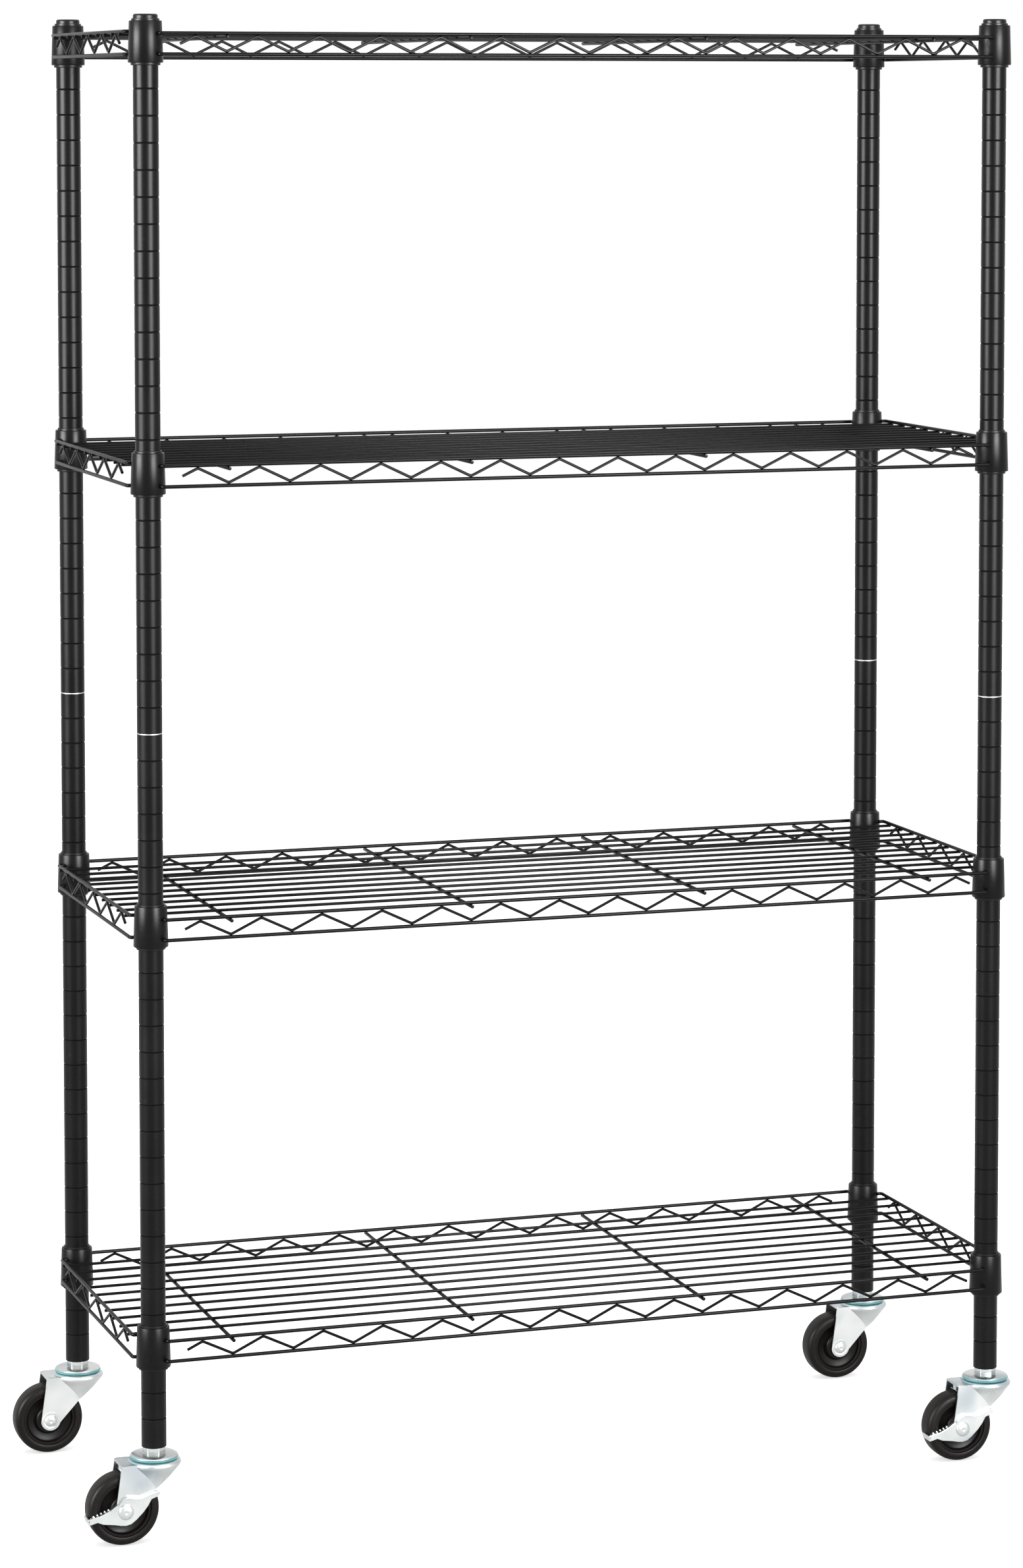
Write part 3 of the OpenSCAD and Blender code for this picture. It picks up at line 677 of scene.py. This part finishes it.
MARGIN = 44 * MM
LONG_PEAKS, SHORT_PEAKS = 14, 5
long_zigzag = zigzag("long_zigzag", 2 * (POST_X - MARGIN), LONG_PEAKS, LOW_Z, HIGH_Z, RAIL_Y)
short_zigzag = zigzag("short_zigzag", 2 * (POST_Y - MARGIN), SHORT_PEAKS, LOW_Z, SIDE_Z, RAIL_X)
placed(short_zigzag, turn=QUARTER)
zigzags = joined(both_sides(long_zigzag) + both_sides(short_zigzag), "zigzags")
print("zigzags:", len(zigzags.data.polygons), "faces")


# %% Deck and cross wires
def straight_wires(name, length, radius, height, count, reach, crosswise):
    """Evenly spaced straight wires with softened ends, from -reach to +reach."""
    spin = (0, math.pi / 2, math.pi / 2 if crosswise else 0)
    start = (-reach, 0, height) if crosswise else (0, -reach, height)
    piece = add("cylinder", name, vertices=12, radius=radius, depth=length, location=start, rotation=spin)
    soften(piece, 0.35, 60)
    step = 2 * reach / (count - 1)
    apply(piece, "ARRAY", count=count, use_relative_offset=False, use_constant_offset=True,
          constant_offset_displace=(step, 0, 0) if crosswise else (0, step, 0))
    return clean(piece)


DECK_WIRES, CROSS_WIRES = 10, 4
deck_length, cross_length = deck_high.x - deck_low.x, cross_high.y - cross_low.y
deck = straight_wires("deck", deck_length, DECK_R, DECK_Z, DECK_WIRES, deck_high.y - DECK_R, False)
cross = straight_wires("cross", cross_length, CROSS_R, CROSS_Z, CROSS_WIRES, cross_high.x - CROSS_R, True)
print("deck wires", round(deck_length, 4), "long, cross wires", round(cross_length, 4))

# %% The wires of all four shelves
wires = {"rails": rails, "truss_wires": zigzags, "deck_wires": deck, "cross_wires": cross}
for i in SHELVES:
    for kind, model in wires.items():
        piece = copy_of(model, f"{model.name}_{i}", (0, 0, SHELF_Z[i] - SHELF_Z[1]))
        settle(piece, f"shelf_{i}", wire_coat, f"shelf_{i}_{kind}")
remove(*wires.values())
print("shelves:", len(SHELVES), "with", len(wires), "kinds of wire each")

# %% [markdown]
# ## Casters
# A caster screws into the post's insert. Its stem carries a hexagon for the spanner, a domed cup over the
# balls, and a dust ring. The fork hangs on the kingpin below and trails behind it. Sizes are millimetres,
# x back from the swivel axis is negative, and z is up from the floor. Each part is modelled at the
# origin, then copied.

# %% Stem
HEX_H, HEX_FLATS, HEX_TURN = 5.5, 19, 12
HEX_Z = foot / MM - HEX_H
hexagon = add("cylinder", "hexagon", vertices=6, radius=HEX_FLATS / math.sqrt(3) * MM, depth=HEX_H * MM,
              location=(0, 0, (HEX_Z + HEX_H / 2) * MM), rotation=(0, 0, math.radians(HEX_TURN)))
apply(hexagon, "BEVEL", width=0.45 * MM, segments=3)
clean(hexagon)
pin = turned("pin", [
    (0, 73.2), (7.2, 73.2), (8, 73.9), (8, 75.2), (5, 75.3), (5, HEX_Z), (5, HEX_Z + 6), (4.9, HEX_Z + 24),
    (4.2, HEX_Z + 25.3), (0, HEX_Z + 25.4)], sides=32)
stems = at_corners(joined([hexagon, pin], "stem"), "stems")
settle(stems, "frame", stem_zinc, "caster_stems")
print("hexagon at", round(HEX_Z, 2), "mm")

# %% Cup and dust ring
cup = turned("cup", [
    (5, HEX_Z - 2.2), (5, HEX_Z), (12.2, HEX_Z), (13.2, HEX_Z - 0.25), (15.2, HEX_Z - 0.45),
    (19.3, HEX_Z - 1.05), (21.6, HEX_Z - 1.75), (22.8, HEX_Z - 2.45), (23, HEX_Z - 2.8), (22.9, HEX_Z - 2.95),
    (21.6, HEX_Z - 2.95), (19.4, HEX_Z - 2.7), (18.5, HEX_Z - 2.3)], sides=64, closed=True)
race = turned("race", [
    (5.1, 75.4), (13.4, 75.4), (14, 76), (14, 77.6), (13.4, 78.1), (5.1, 78.1)], sides=48, closed=True)
settle(at_corners(joined([cup, race], "cup"), "cups"), "frame", stem_zinc, "caster_races")

ring = turned("ring", [
    (20.1, 81.3), (22.6, 81.3), (23.2, 81.7), (23.4, 82.4), (23.2, 83.1), (22.7, 83.5), (20.1, 83.5)],
    sides=64, closed=True)
settle(at_corners(ring, "dust_rings"), "frame", dust_ring, "caster_seals")
print("cup and ring at", len(CORNERS), "posts")

# %% [markdown]
# ### Fork
# The fork is one pressing: a crown that flares out to a rolled rim, and two flat legs that run back and
# down to the axle. The crown is turned, opened at the back between the legs with a Boolean, and snipped
# along its slanted front edge with a bisect. Legs and top tab are sheet parts that run into it.

# %% Fork crown
crown = turned("crown", [
    (16, 50), (16.1, 55), (16.7, 59.5), (17.9, 63.5), (19.7, 67.3), (22, 71), (24.2, 73.8), (25.4, 75.3),
    (25.9, 76.4), (25.95, 77.4), (25.5, 78.5), (24.6, 79.5), (23.2, 80.2), (21.5, 80.45), (5.2, 80.45),
    (5.2, 78.5), (21.2, 78.5), (22.8, 78.1), (23.8, 77.2), (23.7, 76.3), (22.6, 74.6), (20.4, 72), (18, 68.2),
    (16.1, 64.2), (14.8, 60), (14.1, 55.2), (14, 50)], sides=96, closed=True)
cutter = add("cube", "cutter", size=1, location=(-21 * MM, 0, 57 * MM), scale=(40 * MM, 28 * MM, 34.4 * MM))
alone(cutter)
apply(crown, "BOOLEAN", operation="DIFFERENCE", object=cutter, solver="EXACT")
remove(cutter)
bpy.ops.object.mode_set(mode="EDIT")
bpy.ops.mesh.select_all(action="SELECT")
snip_x, snip_z = -2, 54.6
front_slope = math.atan2(77 - snip_z, 26 - snip_x)
bpy.ops.mesh.bisect(
    plane_co=(snip_x * MM, 0, snip_z * MM), plane_no=(math.sin(front_slope), 0, -math.cos(front_slope)),
    clear_outer=True, use_fill=True)
clean(crown, 30)
print("crown:", len(crown.data.polygons), "faces")

# %% Fork legs and tab
AXLE_X, AXLE_Z = -32, 35
LEG_IN, LEG_OUT = 14, 16
leg_outline = [(-35.6, 77.6), (-35.2, 78.6), (-34, 79), (6, 79), (6, 62.0), (snip_x, snip_z), (-22.3, 32.6)]
leg_outline += arc(AXLE_X, AXLE_Z, 10, -14, -172, 14)
legs = []
for side in (-1, 1):
    leg = sheet(f"leg_{side}", leg_outline, LEG_IN if side > 0 else -LEG_OUT, LEG_OUT - LEG_IN)
    boss = turned("boss", [(4.1, 0), (9, 0), (8.6, 0.35), (7.6, 0.45), (6.9, 0.2), (4.1, 0.2)],
                  sides=40, closed=True, about="Y")
    placed(boss, (AXLE_X * MM, side * LEG_OUT * MM, AXLE_Z * MM), math.pi if side > 0 else 0)
    legs += [leg, boss]
tab = sheet("tab", [(-35.8, 77), (-35.8, 79), (-14, 79), (-14, 77)], -15.4, 30.8)
fork = joined([crown, *legs, tab], "fork")
print("fork:", len(fork.data.polygons), "faces")

# %% [markdown]
# ### Wheel
# The wheel is a hub, a dished web and a rim in one moulding, with a tyre moulded round it.

# %% Wheel
def mirrored(half):
    """A closed profile from its half at negative height."""
    return half + [(r, -z) for r, z in reversed(half)]


core = turned("core", mirrored([
    (4.1, -11.6), (10.6, -12), (12.4, -11.8), (13.6, -10.9), (14.3, -9.2), (14.8, -6.9), (15.8, -5.9),
    (21, -6.6), (22.6, -7.6), (23.4, -9.6), (24.2, -10.3), (25.95, -10.3)]), sides=72, closed=True, about="Y")
tyre = turned("tyre", mirrored([
    (26, -10.6), (26.6, -11.6), (27.6, -12), (29.6, -11.95), (31.6, -11.55), (33.2, -10.6), (34.2, -9.1),
    (34.75, -6.8), (34.95, -3.4)]), sides=96, closed=True, about="Y")
print("wheel:", len(core.data.polygons) + len(tyre.data.polygons), "faces")


# %% Axle
PLAIN_REACH, PLAIN_HEAD = 16.1, 6
BRAKED_REACH, BRAKED_HEAD = 18.1, 7.3


def head(name, radius, reach):
    """A domed rivet head with a shallow pit, turned about Y and pointing to -Y."""
    dome = [(radius - 0.05, 0), (radius, 0.5), (radius - 0.5, 1.15), (radius - 1.5, 1.85), (radius - 3, 2.35),
            (2.2, 2.6), (1.5, 2.55), (1.0, 2.3), (0, 2.2)]
    return turned(name, [(r, z + reach) for r, z in dome], sides=40, about="Y")


def axle(reach, radius):
    """The axle pin with a head at each end and a spacer beside the wheel on each side."""
    pin = turned("pin", [(0, -17), (3.95, -17), (3.95, reach - 0.2), (0, reach - 0.2)], sides=24, about="Y")
    near_head = head("near_head", radius, reach)
    far_head = placed(head("far_head", PLAIN_HEAD, PLAIN_REACH), turn=math.pi)
    spacer = turned("spacer", [(4, 12.15), (7, 12.15), (7, 13.85), (4, 13.85)],
                    sides=32, closed=True, about="Y")
    return joined([pin, near_head, far_head, spacer, copy_of(spacer, "spacer_far", turn=math.pi)], "axle")


# %% [markdown]
# ### Brake
# A stamped lever rocks on the axle outside the near leg. Its upper edge is folded out as a stiffener, the
# long arm ends in a pedal that reaches in over the tread, and a row of teeth gives the foot its grip.
# Plate, lip, flange, pedal and teeth are each drawn as a sheet part and joined, and a Boolean opens the
# axle hole.

# %% Brake lever
lever_outline = [
    (-68.4, 31.2), (-69.0, 29), (-66.6, 25.6), (-60, 27.4), (-54, 25), (-48, 24.2), (-43, 23.5), (-37, 22.2),
    (-32, 21.8), (-27, 23), (-22, 26.6), (-15, 33.4), (-10.2, 39.6), (-7, 45.4), (-1.2, 47.4), (1.2, 49.4),
    (1.4, 51.6), (-0.8, 53.4), (-8, 51.2), (-17.5, 48), (-24, 48.6), (-30.5, 49.8), (-35.6, 47.8),
    (-40, 43), (-47.5, 37.6), (-57, 33.4)]
FACE = -16.3
LEVER_T, FOLD_T = 1.6, 1.3
plate = sheet("plate", lever_outline, FACE - LEVER_T, LEVER_T, edge=0.35)
lip_line = [(-0.8, 53.4), (-8, 51.2), (-17.5, 48), (-24, 48.6), (-30.5, 49.8), (-35.6, 47.8), (-40, 43)]
lip_under = [(x + 0.3, z - FOLD_T) for x, z in reversed(lip_line)]
lip = sheet("lip", lip_line + lip_under, FACE - 3.8, 2.6, edge=0.4)
arm_line = [(-40, 43), (-47.5, 37.6), (-57, 33.4), (-66.4, 31.5)]
arm_under = [(x, z - FOLD_T) for x, z in reversed(arm_line)]
flange = sheet("flange", arm_line + arm_under, FACE - 0.4, 3.4, edge=0.35)
pedal_arc = arc(AXLE_X, AXLE_Z, 37.6, 187, 195, 5)
pedal = sheet("pedal", pedal_arc + arc(AXLE_X, AXLE_Z, 35.9, 195, 187, 5), FACE - LEVER_T, 18, edge=0.4)
print("plate:", len(plate.data.polygons), "faces")

# %% Teeth and axle hole
TEETH = 5
teeth = []
for k in range(TEETH):
    x, z = -63.5 + 3.6 * k, 32.3 + 1.35 * k
    tooth = [(x - 1.1, z), (x, z + 1.5), (x + 1.1, z + 0.5), (x + 1.1, z - 0.6)]
    teeth.append(sheet(f"tooth_{k}", tooth, FACE + 0.4, 2.4, edge=0.2))
lever = joined([plate, lip, flange, pedal, *teeth], "lever")
hole = turned("hole", [(0, 16), (4.2, 16), (4.2, 19), (0, 19)], sides=32, about="Y")
placed(hole, (AXLE_X * MM, 0, AXLE_Z * MM))
apply(lever, "BOOLEAN", operation="DIFFERENCE", object=hole, solver="EXACT")
remove(hole)
clean(lever, 30)
print("lever:", len(lever.data.polygons), "faces")

# %% Brake shoe
shoe_near, shoe_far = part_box("brake_shoe_fl")
half_shoe = (shoe_far.y - shoe_near.y) / MM / 2
strip = arc(AXLE_X, AXLE_Z, 37.2, 62, 94, 10) + arc(AXLE_X, AXLE_Z, 36.2, 94, 62, 10)
shoe_post = turned("shoe_post", [(0, 71.6), (2.6, 71.6), (3, 72), (3, 76.9), (0, 76.9)], sides=24)
placed(shoe_post, (AXLE_X * MM, 0, 0))
shoe = joined([sheet("shoe_strip", strip, -half_shoe, 2 * half_shoe, edge=0.3), shoe_post], "shoe")
print("shoe width", round(2 * half_shoe, 2), "mm")

# %% Put the casters together
braked_axle, plain_axle = axle(BRAKED_REACH, BRAKED_HEAD), axle(PLAIN_REACH, PLAIN_HEAD)
for corner, (sx, sy) in CORNERS.items():
    swivel_at = (sx * POST_X, sy * POST_Y, 0)
    axle_at = (swivel_at[0] + AXLE_X * MM, swivel_at[1], AXLE_Z * MM)
    braked = sy < 0
    own_axle = braked_axle if braked else plain_axle
    # model, name, place, body it rides on, finish, slot, construction node
    parts = [
        (fork, "caster_fork", swivel_at, "swivel", fork_zinc, "fork_zinc", "fork"),
        (own_axle, "rivet", axle_at, "swivel", stem_zinc, "zinc_steel", "axle"),
        (core, "wheel", axle_at, "wheel", wheel_black, "wheel_plastic", "wheel_core"),
        (tyre, "tread", axle_at, "wheel", tyre_black, "tyre_rubber", "tyre")]
    if braked:
        parts += [
            (lever, "brake_pedal", swivel_at, "brake", fork_zinc, "fork_zinc", "brake_lever"),
            (shoe, "stop_strip", swivel_at, "swivel", stem_zinc, "zinc_steel", "brake_shoe")]
    for model, name, place, body, finish, slot, node in parts:
        piece = copy_of(model, f"{name}_{corner}", place)
        settle(piece, f"{body}_{corner}", finish, f"{node}_{corner}")
    print("caster", corner, "with", len(parts), "pieces")
remove(fork, braked_axle, plain_axle, core, tyre, lever, shoe)

# %% [markdown]
# ## Nodes that stay
# Inserts, joining studs and balls keep the construction model's own shape and only get a finish. The
# stud's washer is the bright ring between two post sections.

# %% Finish the nodes that stay
for node in ("post_inserts", "post_joint_studs", "caster_balls"):
    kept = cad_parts[node]
    kept.data.materials.clear()
    kept.data.materials.append(steel_ring)
print("kept nodes finished")

# %% [markdown]
# ## Camera, floor and light
# The camera stands left of the rack's middle, a little below the top shelf. The floor and the world are
# white. A wide soft light hangs overhead. Strips at the left and right show only in the gloss, where they
# give the posts their pair of upright highlights.

# %% Camera
scene = bpy.context.scene
camera_data = bpy.data.cameras.new("camera")
camera = bpy.data.objects.new("camera", camera_data)
scene.collection.objects.link(camera)
camera.location = (-1.485, -4.41, 1.377)
camera.rotation_euler = (math.radians(90 - 4.21), 0, math.radians(-18.66))
camera_data.lens = 106.35
camera_data.sensor_width = 36
camera_data.shift_x, camera_data.shift_y = -0.0143, -0.2172
camera_data.clip_start, camera_data.clip_end = 0.1, 100
scene.camera = camera
print("camera", round(camera.location.length, 2), "m from the origin")


# %% Lights
def soft_light(name, place, target, width, height, power):
    """A rectangular area light that faces its target."""
    data = bpy.data.lights.new(name, "AREA")
    data.shape, data.size, data.size_y, data.energy = "RECTANGLE", width, height, power
    light = bpy.data.objects.new(name, data)
    light.location = place
    light.rotation_euler = (Vector(target) - Vector(place)).to_track_quat("-Z", "Y").to_euler()
    scene.collection.objects.link(light)
    return light


soft_light("overhead", (0, -0.5, 4.2), (0, 0, 0), 6.0, 5.0, 95)
STRIP_H = 0.9
for name, x, y, width in (("left", -3.9, -0.9, 2.2), ("right", 1.1, -3.4, 1.7)):
    for level, height, power in (("upper", 1.9, 130), ("lower", 1.0, 52)):
        light = soft_light(f"{name}_{level}", (x, y, height), (0, 0, height), width, STRIP_H, power * width)
        light.visible_diffuse = False

# %% World
world = bpy.data.worlds.new("studio")
scene.world = world
world.use_nodes = True
tree = world.node_tree
background = next(n for n in tree.nodes if n.type == "BACKGROUND")
background.inputs["Color"].default_value = (1, 1, 1, 1)
by_camera, by_gloss, by_glass = ray_kinds(tree)
AMBIENT = 0.6
strength = AMBIENT + (by_camera + by_gloss + by_glass) * (1 - AMBIENT)
tree.links.new(strength.socket, background.inputs["Strength"])
print("ambient light", AMBIENT)

# %% Floor
GLOW, GLOW_IN_GLOSS = 0.62, 0.4
floor = add("plane", "floor", size=16, location=(0, 0, 0))
bpy.ops.mesh.subdivide(number_cuts=3)
alone(floor)
white = Finish("floor_white", Roughness=0.9, Emission_Strength=GLOW)
cloud = white.ramp(white.noise(3, 2), 0.3, 0.7)
white.feed(Base_Color=white.blend(cloud, (0.80, 0.80, 0.80), (0.82, 0.82, 0.82)))
by_camera, by_gloss, by_glass = ray_kinds(white.place.tree)
seen = by_camera + by_glass + by_gloss * GLOW_IN_GLOSS
white.feed(Emission_Color=white.blend(seen, (0, 0, 0), (1, 1, 1)))
floor.data.materials.append(white.material)
print("floor", round(floor.dimensions.x, 1), "m wide")

scene.view_settings.view_transform = "Standard"
